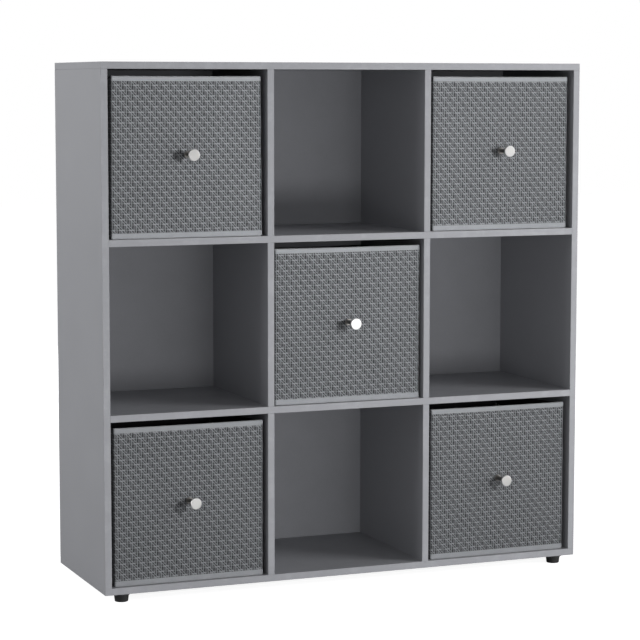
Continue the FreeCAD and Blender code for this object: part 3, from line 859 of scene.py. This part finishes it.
class Drawer:
    """Where one drawer's layers lie, from its CAD nodes, and how its cloth has settled."""

    CORNER = 3.0 * MM
    WAVES = 5

    def __init__(self, name, order, settings):
        self.name = name
        self.settings = settings
        self.box_low, self.box_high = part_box(name + "_box")
        self.cover_low, self.cover_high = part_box(name + "_front_cover")
        self.bands_low, self.bands_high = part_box(name + "_front_bands")
        self.boards_low, self.boards_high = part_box(name + "_wall_boards")
        self.base_low, self.base_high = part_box(name + "_base_board")
        self.knob_low, self.knob_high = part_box(name + "_knob")
        self.middle = (self.box_low.x + self.box_high.x) / 2.0
        self.cloth = self.boards_low.x - self.box_low.x
        chance = random.Random(order * 7 + 3)
        self.spread = SPREAD.get(name, chance.uniform(-0.003, 0.004))
        self.fullness, self.lean = FULLNESS.get(name, (0.0, 0.0))
        self.shift = (chance.uniform(0.0, WEAVE_ACROSS * MM), chance.uniform(0.0, WEAVE_UP * MM))
        self.waves = [(chance.uniform(18.0, 46.0), chance.uniform(18.0, 46.0),
                       chance.uniform(0.0, 6.28), chance.uniform(0.0, 6.28))
                      for _ in range(self.WAVES)]
        self.pucker_turn = chance.uniform(0.0, 6.28)

    @property
    def tape_skin(self):
        """Thickness of the tape, the outermost layer."""
        return self.cover_low.y - self.bands_low.y

    @property
    def knob_axis(self):
        return Vector((self.middle, self.knob_low.y, (self.knob_low.z + self.knob_high.z) / 2.0))

    def rim(self, y):
        """Height of the box's rim: level at the front, then falling to the back."""
        level_to = self.box_low.y + RIM_LEVEL
        share = np.clip((y - level_to) / (self.box_high.y - level_to), 0.0, 1.0)
        return self.box_high.z - share * RIM_FALL

    def settled(self, x, y, z):
        """Moves points of cloth and card as a used, hand-sewn drawer has settled."""
        half = (self.box_high.x - self.box_low.x) / 2.0
        u = (x - self.middle) / half
        v = np.clip((y - self.box_low.y) / (self.box_high.y - self.box_low.y), 0.0, 1.0)
        w = np.clip((z - self.box_low.z) / (self.box_high.z - self.box_low.z), 0.0, 1.0)
        front = 1.0 - eased(0.0, 0.2, v)
        back = eased(0.8, 1.0, v)
        side = eased(0.75, 1.0, np.abs(u))
        across = 1.0 - np.clip(u * u, 0.0, 1.0)
        up = 4.0 * w * (1.0 - w)
        dx = x - self.knob_axis.x
        dz = z - self.knob_axis.z
        reach = np.hypot(dx, dz)
        held = 1.0 - np.exp(-(reach / KNOB_HOLD) ** 2)
        swell = self.settings.front_swell * across * up * held
        pucker = (PUCKER * np.cos(5.0 * np.arctan2(dz, dx) + self.pucker_turn)
                  * np.exp(-((reach - PUCKER_RADIUS) / PUCKER_WIDTH) ** 2))
        wave = sum(np.sin(a * x + b * z + c) * np.cos(b * y + a * z + d)
                   for a, b, c, d in self.waves) / self.WAVES
        bow = self.settings.rim_bow * 4.0 * v * (1.0 - v) * w * w
        held_x = eased(KNOB_HOLD * 0.3, KNOB_HOLD * 1.5, reach) * front + 1.0 - front
        new_x = (x - np.sign(u) * side * bow + WAVE * wave * side
                 + (x - self.middle) * (self.spread * (0.55 - w) + self.fullness)
                 + self.lean * held_x)
        hollow = swell * 1.3 + WAVE * 0.5 * (1.0 + wave) * across
        new_y = (y - front * (swell + pucker * (1.0 - side)) - back * hollow
                 + WAVE * wave * front * 0.5 * across)
        sag = RIM_SAG * w ** 8 * (4.0 * v * (1.0 - v) * side + back * across + front * across * 0.25)
        return new_x, new_y, z - sag

    def finish(self, mesh, name, finish, record_slot):
        """Makes a mesh in nominal places a settled piece of this drawer."""
        count = len(mesh.vertices)
        co = np.empty(count * 3)
        mesh.vertices.foreach_get("co", co)
        co = co.reshape(-1, 3)
        moved = np.stack(self.settled(co[:, 0], co[:, 1], co[:, 2]), 1)
        mesh.vertices.foreach_set("co", moved.ravel())
        return piece_with(mesh, f"{self.name}_{name}", finish, self.name)


def arc_points(centre, radius, start, stop, steps, base_lift):
    """Section points on an arc from start to stop degrees; 180 is the outer side, 90 the top."""
    points = []
    for step in range(steps + 1):
        turn = math.radians(start + (stop - start) * step / steps)
        points.append((centre + radius * math.cos(turn), 1.0,
                       base_lift + radius * math.sin(turn)))
    return points


def make_box_walls(drawer, finish):
    """The black cloth that goes up outside, over the rim and down inside."""
    low, high = drawer.box_low, drawer.box_high
    skin = drawer.cloth
    wall = WALL_THICKNESS
    hem = HEM_THICKNESS
    radius = (wall + hem) / 2.0
    levels = [step / WALL_ROWS for step in range(WALL_ROWS + 1)]
    below = -radius
    outer = [(0.0, level, below * level) for level in levels]
    over = arc_points(radius, radius, 180.0, 0.0, 10, base_lift=below)[1:]
    hem_end = 1.0 - HEM_HEIGHT / (high.z - low.z)
    inner_levels = [level for level in levels[::-1] if level < hem_end]
    inside = ([(wall + hem, hem_end + 0.002, below), (wall + hem * 0.9, hem_end, below),
               (wall, hem_end - 0.002, below)]
              + [(wall, level, below * level + skin * (1.0 - level)) for level in inner_levels])
    hidden_up = [(wall - skin, level, below * level + skin * (1.0 - level))
                 for level in levels]
    hidden_over = arc_points(radius - hem / 2.0, radius - hem / 2.0 - skin, 0.0, 180.0, 6,
                             base_lift=below)[1:]
    hidden_down = [(skin, level, below * level + skin * (1.0 - level))
                   for level in levels[::-1]][1:]
    points = outer + over + inside + hidden_up + hidden_over + hidden_down + [outer[0]]
    path = PlanPath([(drawer.middle, high.y), (low.x, high.y), (low.x, low.y), (high.x, low.y),
                     (high.x, high.y), (drawer.middle, high.y)], drawer.CORNER, WALL_STEP, 5)
    mesh = swept_cloth(drawer.name + "_box_walls", path, Section(points), low.z, drawer.rim,
                       closed=True)
    piece = drawer.finish(mesh, "box_walls", finish, "drawer_cloth")
    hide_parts(drawer.name + "_box")
    path.length


def plate(bm, low, high, bevel, cuts):
    """A bevelled plate between two corners, cut up so that it can bend."""
    size = high - low
    made = bmesh.ops.create_cube(bm, size=1.0, matrix=Matrix.Translation((low + high) / 2.0)
                                 @ Matrix.Diagonal((*size, 1.0)))
    edges = list({edge for vert in made["verts"] for edge in vert.link_edges})
    long_edges = [edge for edge in edges if edge.calc_length() > 20.0 * MM]
    bmesh.ops.subdivide_edges(bm, edges=long_edges, cuts=cuts, use_grid_fill=True)
    sharp = [edge for edge in bm.edges if edge.is_manifold
             and edge.calc_face_angle() > math.radians(80.0)]
    bmesh.ops.bevel(bm, geom=sharp, offset=bevel, offset_type="OFFSET", affect="EDGES",
                    segments=3, profile=0.5, material=-1, clamp_overlap=True)


def mapped(bm, drawer, shift=0.0):
    """Lays the cloth map on a bmesh: from above where a face is level, else from its side."""
    uv = bm.loops.layers.uv.new(CLOTH_MAP)
    for face in bm.faces:
        normal = face.normal
        for loop in face.loops:
            co = loop.vert.co
            if abs(normal.z) > 0.5:
                loop[uv].uv = (co.x - drawer.middle + shift, co.y)
            elif abs(normal.y) > 0.5:
                loop[uv].uv = (co.x - drawer.middle + shift, co.z)
            else:
                loop[uv].uv = (co.y + shift, co.z)


def make_stiffeners(drawer, finish):
    """Four card boards inside the walls."""
    low, high = drawer.boards_low, drawer.boards_high
    card = CARD_THICKNESS
    gap = CARD_GAP
    top = high.z - CARD_BELOW_RIM
    back_top = top - RIM_FALL
    corner = card + CARD_BEFORE_CORNER
    plans = {
        "front": (Vector((low.x + corner, low.y + gap, low.z)),
                  Vector((high.x - corner, low.y + card - gap, top))),
        "back": (Vector((low.x + corner, high.y - card + gap, low.z)),
                 Vector((high.x - corner, high.y - gap, back_top))),
        "left": (Vector((low.x + gap, low.y + corner, low.z)),
                 Vector((low.x + card - gap, high.y - corner, top))),
        "right": (Vector((high.x - card + gap, low.y + corner, low.z)),
                  Vector((high.x - gap, high.y - corner, top))),
    }
    bm = bmesh.new()
    for side, (near, far) in plans.items():
        one = bmesh.new()
        plate(one, near, far, CARD_BEVEL, 7)
        if side in ("left", "right"):
            span = far.z - near.z
            for vert in one.verts:
                fall = drawer.box_high.z - drawer.rim(vert.co.y)
                vert.co.z -= fall * (vert.co.z - near.z) / span
        mesh = finished_mesh(one, "stiffener")
        bm.from_mesh(mesh)
        bpy.data.meshes.remove(mesh)
    piece = drawer.finish(finished_mesh(bm, drawer.name + "_stiffeners"), "stiffeners", finish,
                          "drawer_board")
    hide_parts(drawer.name + "_wall_boards")


def make_floor_cloth(drawer, finish):
    """The cloth under the box."""
    low, high = drawer.box_low, drawer.box_high
    bm = bmesh.new()
    inset = FLOOR_INSET
    plate(bm, Vector((low.x + inset, low.y + inset, low.z + 0.02 * MM)),
          Vector((high.x - inset, high.y - inset, low.z + drawer.cloth)), 0.3 * MM, 9)
    mapped(bm, drawer)
    piece = drawer.finish(finished_mesh(bm, drawer.name + "_box_floor"), "box_floor", finish,
                          "drawer_cloth")


def make_base(drawer, finish):
    """The loose stiff base, covered with the box cloth, edges rounded by it."""
    low, high = drawer.base_low.copy(), drawer.base_high.copy()
    low.z += 0.05 * MM
    low.y = max(low.y, drawer.box_low.y + WALL_THICKNESS + 0.4 * MM)
    bm = bmesh.new()
    plate(bm, low + BASE_INSET, high - BASE_INSET, BASE_BEVEL, 11)
    span = (high.x - low.x) / 2.0
    for vert in bm.verts:
        edge = max(abs(vert.co.x - drawer.middle) / span,
                   abs(vert.co.y - (low.y + high.y) / 2.0) / span)
        if vert.co.z > (low.z + high.z) / 2.0:
            vert.co.z += BASE_CROWN * (1.0 - min(1.0, edge) ** 6)
    mapped(bm, drawer, 0.4)
    piece = drawer.finish(finished_mesh(bm, drawer.name + "_base"), "base", finish,
                          "drawer_board")
    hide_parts(drawer.name + "_base_board")


def make_cover(drawer, finish):
    """The woven front cloth, wrapped round both front corners, with its canes in relief."""
    low, high = drawer.cover_low, drawer.cover_high
    settings = drawer.settings
    step = settings.weave_step
    skin = drawer.box_low.y - low.y
    foot = low.z + COVER_FOOT
    head = high.z - COVER_HEAD
    rows = round((head - foot) / step)
    points = [(0.0, row / rows, 0.0) for row in range(rows + 1)]
    points += [(skin, 1.0, 0.0), (skin, 0.0, 0.0), (0.0, 0.0, 0.0)]
    path = PlanPath([(low.x, high.y), (low.x, low.y), (high.x, low.y), (high.x, high.y)],
                    drawer.CORNER, step, 5)
    section = Section(points)
    section.t = section.rise * (head - foot)
    shift = drawer.shift

    def raise_canes(x, y, z, inset, s, row):
        height = cane_weave((s + shift[0]) / MM, (z - foot + shift[1]) / MM)[1]
        worked = (row <= rows) * settings.weave_relief * (height - 0.5)
        end = eased(0.0, CANE_END, path.length / 2.0 - np.abs(s))
        nx = np.interp(s, path.s, path.nx)
        ny = np.interp(s, path.s, path.ny)
        return x + nx * worked * end, y + ny * worked * end, z

    mesh = swept_cloth(drawer.name + "_cover", path, section, foot,
                       lambda y: np.full_like(y, head), shift=shift, shape=raise_canes)
    piece = drawer.finish(mesh, "cover", finish, "patterned_cloth")
    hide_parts(drawer.name + "_front_cover")
    path.length


def make_tapes(drawer, finish):
    """The grey tapes: one folded over the front's rim, one along its foot."""
    low, high = drawer.bands_low, drawer.bands_high
    rib = drawer.settings.tape_rib
    tape = drawer.tape_skin
    width = high.y - low.y
    fold = width / 2.0
    corner = drawer.CORNER
    path = PlanPath([(low.x + TAPE_END, low.y), (high.x - TAPE_END, low.y)], 0.0, rib / 4.0, 1)
    straight = high.x - corner - drawer.middle

    def ribbed(x, y, z, inset, s, row):
        beyond = np.clip(np.abs(x - drawer.middle) - straight, 0.0, corner * 0.97)
        drop = corner - np.sqrt(corner * corner - beyond * beyond)
        outer = 1.0 - eased(tape, fold, inset)
        ribs = RIB_HEIGHT * np.cos(2.0 * math.pi * s / rib) * (inset < tape * 0.5)
        return x, y + drop * outer - ribs, z

    leg = TOP_TAPE_HEIGHT - fold
    top = []
    legs = [step / 6.0 for step in range(7)]
    top += [(0.0, 1.0, -fold - leg * (1.0 - share)) for share in legs]
    top += arc_points(fold, fold, 180.0, 0.0, 12, base_lift=-fold)[1:]
    top += [(width, 1.0, -fold - leg * share) for share in legs[1:]]
    top += [(width - tape * 0.5, 1.0, -fold - leg - TAPE_EDGE)]
    top += [(width - tape, 1.0, -fold - leg * share) for share in legs[::-1]]
    top += arc_points(fold, fold - tape, 0.0, 180.0, 8, base_lift=-fold)[1:]
    top += [(tape, 1.0, -fold - leg * share) for share in legs[1:]]
    top += [(tape * 0.5, 1.0, -fold - leg - TAPE_EDGE), top[0]]
    foot = low.z + 0.05 * MM
    top_mesh = swept_cloth(drawer.name + "_top_tape", path, Section(top), foot,
                           lambda y: np.full_like(y, high.z), shape=ribbed)
    top_piece = drawer.finish(top_mesh, "top_tape", finish, "band_cloth")
    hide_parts(drawer.name + "_front_bands")
    path.length

    rows = [step / 8.0 for step in range(9)]
    side = BOTTOM_TAPE_HEIGHT - 2.0 * TAPE_EDGE
    bottom = [(0.0, 0.0, TAPE_EDGE + side * share) for share in rows]
    bottom += [(tape * 0.5, 0.0, BOTTOM_TAPE_HEIGHT), (tape, 0.0, BOTTOM_TAPE_HEIGHT - TAPE_EDGE)]
    bottom += [(tape, 0.0, TAPE_EDGE), (tape * 0.5, 0.0, 0.0), bottom[0]]
    bottom_mesh = swept_cloth(drawer.name + "_bottom_tape", path, Section(bottom), foot,
                              lambda y: np.full_like(y, high.z), shape=ribbed)
    bottom_piece = drawer.finish(bottom_mesh, "bottom_tape", finish, "band_cloth")
    path.length


def add_stitch(bm, place, direction, length, thickness):
    """One stitch: a small capsule along a direction."""
    turn = direction.to_track_quat("Z", "Y").to_matrix().to_4x4()
    shape = Matrix.Diagonal((thickness, thickness, length / 2.0, 1.0))
    bmesh.ops.create_uvsphere(bm, u_segments=6, v_segments=5, radius=1.0,
                              matrix=Matrix.Translation(place) @ turn @ shape)


def make_stitches(drawer, light_thread, dark_thread):
    """The seams: one along each tape, and one round the rim, outside and inside."""
    pitch = drawer.settings.stitch_pitch
    low, high = drawer.bands_low, drawer.bands_high
    bm = bmesh.new()
    seams = (high.z - TOP_TAPE_HEIGHT + TAPE_SEAM, low.z + BOTTOM_TAPE_HEIGHT - TAPE_SEAM)
    run = high.x - low.x - 2.0 * drawer.CORNER
    count = int(run / pitch)
    for seam in seams:
        for index in range(count + 1):
            x = low.x + drawer.CORNER + run * index / count
            add_stitch(bm, Vector((x, low.y - 0.05 * MM, seam)), Vector((1.0, 0.0, 0.06)),
                       pitch * STITCH_SHARE, TAPE_THREAD)
    drawer.finish(finished_mesh(bm, drawer.name + "_tape_stitches"), "tape_stitches",
                  light_thread, "band_cloth")

    low, high = drawer.box_low, drawer.box_high
    bm = bmesh.new()
    drop = HEM_HEIGHT - HEM_SEAM
    pitch *= RIM_STITCH_PITCH
    inside = WALL_THICKNESS + HEM_THICKNESS
    cover_end = drawer.cover_high.y + 1.0 * MM

    def seam_line(start, stop, slope_y):
        length = (stop - start).length
        steps = int(length / pitch)
        for index in range(steps + 1):
            place = start.lerp(stop, index / steps)
            place.z = float(drawer.rim(np.float64(place.y))) - drop
            add_stitch(bm, place, (stop - start).normalized() + Vector((0, 0, slope_y)),
                       pitch * STITCH_SHARE, RIM_THREAD)

    margin = SEAM_MARGIN
    fall = -RIM_FALL / (high.y - low.y)
    for side, depth in ((low.x, 1.0), (high.x, -1.0)):
        seam_line(Vector((side, cover_end, 0)), Vector((side, high.y - margin, 0)), fall)
        seam_line(Vector((side + depth * inside, low.y + inside + margin, 0)),
                  Vector((side + depth * inside, high.y - inside - margin, 0)), fall)
    seam_line(Vector((low.x + margin, high.y, 0)), Vector((high.x - margin, high.y, 0)), 0.0)
    seam_line(Vector((low.x + inside + margin, high.y - inside, 0)),
              Vector((high.x - inside - margin, high.y - inside, 0)), 0.0)
    drawer.finish(finished_mesh(bm, drawer.name + "_rim_stitches"), "rim_stitches",
                  dark_thread, "drawer_cloth")


# ---- operators -----------------------------------------------------------------------------

class CUBEUNIT_OT_finish_carcass(bpy.types.Operator):
    """Give the boards and the back their grey finishes"""
    bl_idname = "cubeunit.finish_carcass"
    bl_label = "Finish carcass"

    def execute(self, context):
        settings = context.scene.cube_carcass
        board = board_material(tuple(settings.board_colour), settings.board_roughness,
                               settings.edge_tape)
        for node in BOARDS:
            refinish(node, board)
        refinish("back_panel", back_material(tuple(settings.back_colour)))
        return {"FINISHED"}


class CUBEUNIT_OT_finish_fittings(bpy.types.Operator):
    """Give the feet, dowels and steel fittings their finishes"""
    bl_idname = "cubeunit.finish_fittings"
    bl_label = "Finish feet and fittings"

    def execute(self, context):
        plastic = foot_material(tuple(context.scene.cube_carcass.foot_colour))
        for node in FEET:
            refinish(node, plastic)
        steel = steel_material()
        for node in STEEL_NODES + [name + "_knob_screw" for name in DRAWERS]:
            refinish(node, steel)
        refinish("divider_dowels", dowel_material())
        return {"FINISHED"}


class CUBEUNIT_OT_make_drawer_boxes(bpy.types.Operator):
    """Make the drawers' black cloth boxes with their stiffeners and bases"""
    bl_idname = "cubeunit.make_drawer_boxes"
    bl_label = "Make drawer boxes"

    def execute(self, context):
        settings = context.scene.cube_drawers
        colour = tuple(settings.box_colour)
        cloth = felt_material("black_non_woven", colour)
        base_cloth = felt_material("base_non_woven", scaled(colour, 1.15), 2.6, 1.3)
        card = card_material()
        for drawer in all_drawers(context):
            make_stiffeners(drawer, card)
            make_box_walls(drawer, cloth)
            make_floor_cloth(drawer, cloth)
            make_base(drawer, base_cloth)
        return {"FINISHED"}


class CUBEUNIT_OT_make_drawer_fronts(bpy.types.Operator):
    """Make the woven covers and the tapes on the drawers' fronts"""
    bl_idname = "cubeunit.make_drawer_fronts"
    bl_label = "Make drawer fronts"

    def execute(self, context):
        settings = context.scene.cube_drawers
        cover = cover_material(tuple(settings.cane_light), tuple(settings.cane_dark))
        tape = tape_material(tuple(settings.tape_colour), settings.tape_rib)
        for drawer in all_drawers(context):
            make_cover(drawer, cover)
            make_tapes(drawer, tape)
        return {"FINISHED"}


class CUBEUNIT_OT_sew_drawers(bpy.types.Operator):
    """Sew the drawers' seams"""
    bl_idname = "cubeunit.sew_drawers"
    bl_label = "Sew drawers"

    def execute(self, context):
        colour = tuple(context.scene.cube_drawers.tape_colour)
        light = thread_material("grey_thread", scaled(colour, 1.15))
        dark = thread_material("black_thread", (0.022, 0.022, 0.024))
        for drawer in all_drawers(context):
            make_stitches(drawer, light, dark)
        return {"FINISHED"}


class CUBEUNIT_OT_finish_knobs(bpy.types.Operator):
    """Give the knobs their turned satin finish"""
    bl_idname = "cubeunit.finish_knobs"
    bl_label = "Finish knobs"

    def execute(self, context):
        colour = tuple(context.scene.cube_drawers.knob_colour)
        for drawer in all_drawers(context):
            refinish(drawer.name + "_knob",
                     knob_material(drawer.name + "_nickel", colour, drawer.knob_axis))
        return {"FINISHED"}


class CUBEUNIT_OT_set_stage(bpy.types.Operator):
    """Set up the floor, the lights and the camera"""
    bl_idname = "cubeunit.set_stage"
    bl_label = "Set stage"

    def execute(self, context):
        settings = context.scene.cube_stage
        make_floor()
        make_world(settings.ambient, settings.sheen_light)
        make_lights(settings)
        make_camera(settings)
        context.scene.view_settings.view_transform = "Standard"
        return {"FINISHED"}


def all_drawers(context):
    """The five drawers, in the order of their joints."""
    settings = context.scene.cube_drawers
    return [Drawer(name, order, settings) for order, name in enumerate(DRAWERS)]


# ---- stage ---------------------------------------------------------------------------------

FLOOR_HALF = 12.0
FLOOR_GLOW = 0.90


def make_floor():
    """A wide pale floor that stays nearly white, with a soft contact shadow."""
    bm = bmesh.new()
    bmesh.ops.create_grid(bm, x_segments=8, y_segments=8, size=FLOOR_HALF)
    mesh = finished_mesh(bm, "floor")
    made = bpy.data.materials.new("pale_floor")
    made.use_nodes = True
    graph = Graph(made.node_tree)
    cloud = graph.noise(graph.out(graph.add("TexCoord"), "Object"), 3.0, 3.0)
    seen = graph.out(graph.add("LightPath"), "Is Camera Ray")
    matt = graph.add("BsdfDiffuse", inputs={
        "Color": graph.blend(cloud, (0.46, 0.46, 0.47), (0.48, 0.48, 0.48))})
    glow = graph.add("Emission", inputs={"Color": (1.0, 1.0, 1.0), "Strength": seen * FLOOR_GLOW})
    both = graph.add("AddShader")
    made.node_tree.links.new(matt.outputs[0], both.inputs[0])
    made.node_tree.links.new(glow.outputs[0], both.inputs[1])
    output = graph.add("OutputMaterial")
    made.node_tree.links.new(both.outputs[0], output.inputs["Surface"])
    mesh.materials.append(made)
    floor = bpy.data.objects.new("floor", mesh)
    bpy.context.scene.collection.objects.link(floor)


def make_world(ambient, reflected):
    """White surroundings: seen as white, dimmer as a source of light."""
    world = bpy.data.worlds.new("white_room")
    bpy.context.scene.world = world
    world.use_nodes = True
    graph = Graph(world.node_tree)
    path = graph.add("LightPath")
    camera = graph.out(path, "Is Camera Ray")
    glossy = graph.out(path, "Is Glossy Ray")
    strength = camera * (1.0 - ambient) + glossy * (reflected - ambient) + ambient
    background = graph.add("Background", inputs={"Color": (1.0, 1.0, 1.0),
                                                 "Strength": strength})
    output = graph.add("OutputWorld")
    world.node_tree.links.new(background.outputs[0], output.inputs["Surface"])


def area_light(name, place, target, size, power):
    """A rectangular light at a place, aimed at a target."""
    data = bpy.data.lights.new(name, "AREA")
    data.shape = "RECTANGLE"
    data.size, data.size_y = size
    data.energy = power
    light = bpy.data.objects.new(name, data)
    light.location = place
    aim = Vector(target) - Vector(place)
    light.rotation_euler = aim.to_track_quat("-Z", "Y").to_euler()
    bpy.context.scene.collection.objects.link(light)
    return light


KEY_SPREAD = math.radians(75.0)
LIGHTS = (          # name, place, what it is aimed at, width and height
    ("key", (0.75, -2.40, 0.95), (-0.12, -0.13, 0.85), (0.28, 0.28)),
    ("front_fill", (0.1, -4.1, 0.895), (0.0, 0.15, 0.90), (1.2, 0.10)),
    ("right", (3.2, -2.4, 1.0), (0.2, -0.13, 0.5), (1.6, 2.2)),
    ("low_fill", (0.2, -2.2, 0.12), (0.0, 0.1, 0.55), (2.2, 0.5)),
    ("rear", (0.7, 3.4, 0.9), (0.0, 0.16, 0.5), (1.6, 1.2)),
    ("left_fill", (-2.3, 0.25, 1.05), (-0.45, 0.05, 0.55), (1.4, 1.4)),
)


def make_lights(settings):
    """Wide soft lights all round, and a key that lights the drawers without their knobs."""
    made = {}
    for name, place, target, size in LIGHTS:
        power = getattr(settings, name.split("_")[0] + "_power")
        made[name] = area_light(name, place, target, size, power)
    made["key"].data.spread = KEY_SPREAD
    made["front_fill"].visible_glossy = False
    drawers = bpy.data.collections.new("lit_by_key")
    for piece in bpy.context.scene.objects:
        if "_drawer_" in piece.name and not piece.name.endswith("_knob"):
            drawers.objects.link(piece)
    made["key"].light_linking.receiver_collection = drawers


def make_camera(settings):
    """The camera, just below the top of the unit and to its left."""
    data = bpy.data.cameras.new("camera")
    data.lens = settings.lens
    data.sensor_width = 36.0
    data.clip_start, data.clip_end = 0.05, 100.0
    camera = bpy.data.objects.new("camera", data)
    camera.location = settings.camera_place
    turn = (Matrix.Rotation(-settings.camera_yaw, 3, "Z")
            @ Matrix.Rotation(math.radians(90.0) - settings.camera_pitch, 3, "X")
            @ Matrix.Rotation(settings.camera_roll, 3, "Z"))
    camera.rotation_euler = turn.to_euler()
    bpy.context.scene.collection.objects.link(camera)
    bpy.context.scene.camera = camera


# ---- add-on --------------------------------------------------------------------------------

OPERATORS = (
    CUBEUNIT_OT_finish_carcass,
    CUBEUNIT_OT_finish_fittings,
    CUBEUNIT_OT_make_drawer_boxes,
    CUBEUNIT_OT_make_drawer_fronts,
    CUBEUNIT_OT_sew_drawers,
    CUBEUNIT_OT_finish_knobs,
    CUBEUNIT_OT_set_stage,
)


class CUBEUNIT_PT_panel(bpy.types.Panel):
    """Lists the steps that make the storage unit"""
    bl_label = "Cube storage unit"
    bl_idname = "CUBEUNIT_PT_panel"
    bl_space_type = "VIEW_3D"
    bl_region_type = "UI"
    bl_category = "Storage"

    def draw(self, context):
        layout = self.layout
        for operator in OPERATORS:
            layout.operator(operator.bl_idname)
        for group in SETTINGS:
            values = getattr(context.scene, group)
            box = layout.box()
            for name in values.__annotations__:
                box.prop(values, name)


SETTINGS = {
    "cube_carcass": CubeCarcassSettings,
    "cube_drawers": CubeDrawerSettings,
    "cube_stage": CubeStageSettings,
}


def register():
    for group in SETTINGS.values():
        bpy.utils.register_class(group)
    for name, group in SETTINGS.items():
        setattr(bpy.types.Scene, name, bpy.props.PointerProperty(type=group))
    for operator in OPERATORS:
        bpy.utils.register_class(operator)
    bpy.utils.register_class(CUBEUNIT_PT_panel)


def unregister():
    bpy.utils.unregister_class(CUBEUNIT_PT_panel)
    for operator in reversed(OPERATORS):
        bpy.utils.unregister_class(operator)
    for name, group in SETTINGS.items():
        delattr(bpy.types.Scene, name)
        bpy.utils.unregister_class(group)


def main():
    register()
    EFFECTS.update(shared_effects())
    bpy.ops.cubeunit.finish_carcass()
    bpy.ops.cubeunit.finish_fittings()
    bpy.ops.cubeunit.make_drawer_boxes()
    bpy.ops.cubeunit.make_drawer_fronts()
    bpy.ops.cubeunit.sew_drawers()
    bpy.ops.cubeunit.finish_knobs()
    bpy.ops.cubeunit.set_stage()


if __name__ == "__main__":
    main()
